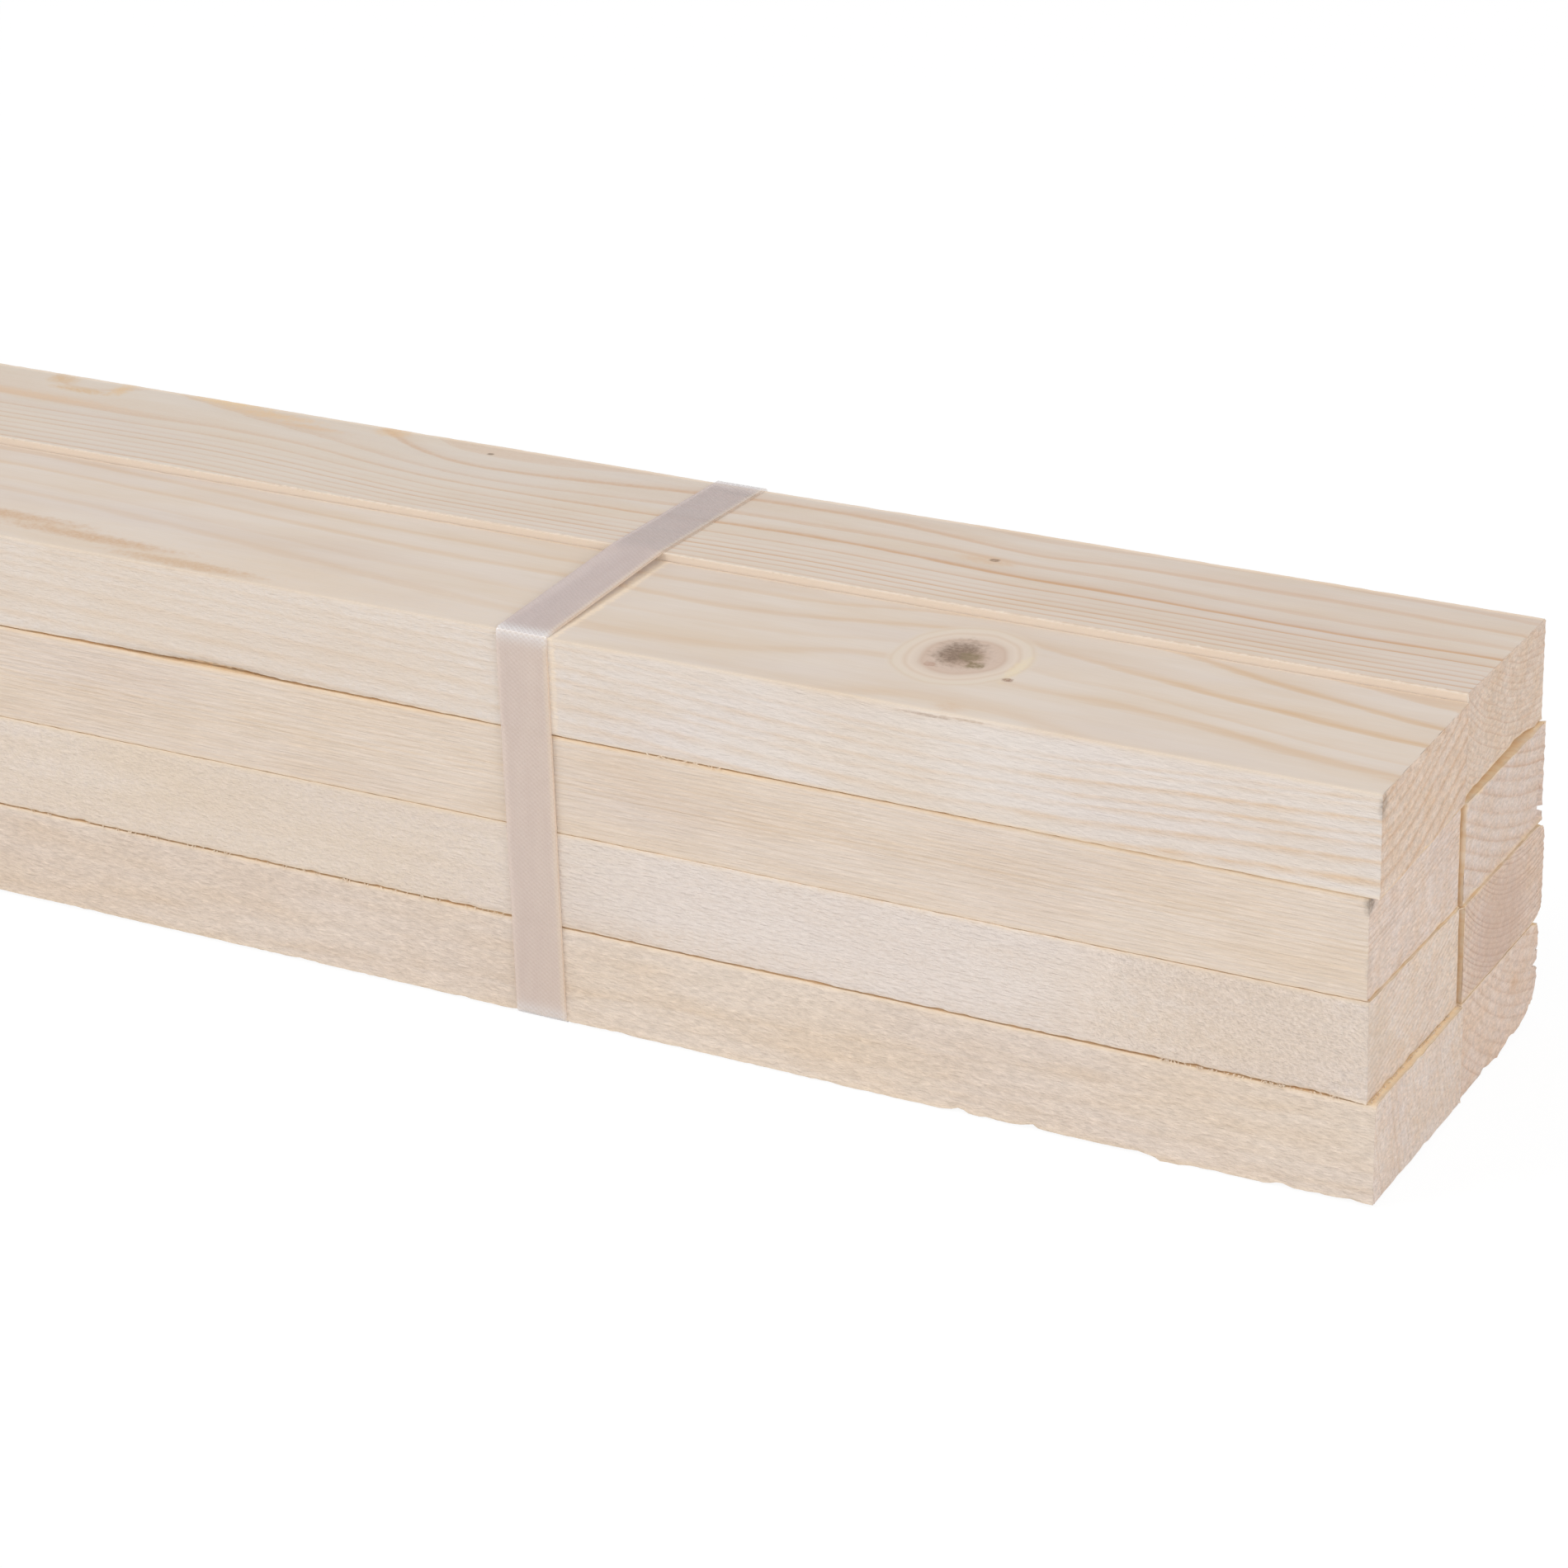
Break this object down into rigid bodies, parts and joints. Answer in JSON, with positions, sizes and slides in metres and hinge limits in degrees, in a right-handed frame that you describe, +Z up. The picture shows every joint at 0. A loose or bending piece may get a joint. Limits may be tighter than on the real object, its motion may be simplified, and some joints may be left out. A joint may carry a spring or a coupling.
{
  "type": "bundle of wooden battens",
  "caption": "Strapped bundle of long rough-sawn softwood battens, stacked in two columns and held by clear plastic straps near both ends.",
  "frame": {"origin": "middle of the bundle's footprint, at the level of the floor it lies on", "axes": "+X along the battens towards the end that the picture shows, +Y to the back of the bundle, +Z up"},
  "size_m": [2.0038, 0.0958, 0.0908],
  "materials": {
    "spruce": "rough sawn, unplaned and untreated",
    "strapping": "translucent embossed polypropylene"
  },
  "bodies": {
    "root": {"batten_bottom_front": "spruce", "batten_bottom_rear": "spruce", "batten_third_front": "spruce", "batten_third_rear": "spruce", "batten_second_front": "spruce", "batten_second_rear": "spruce", "batten_top_front": "spruce", "batten_top_rear": "spruce", "strap_near": "strapping", "strap_far": "strapping"}
  },
  "joints": []
}
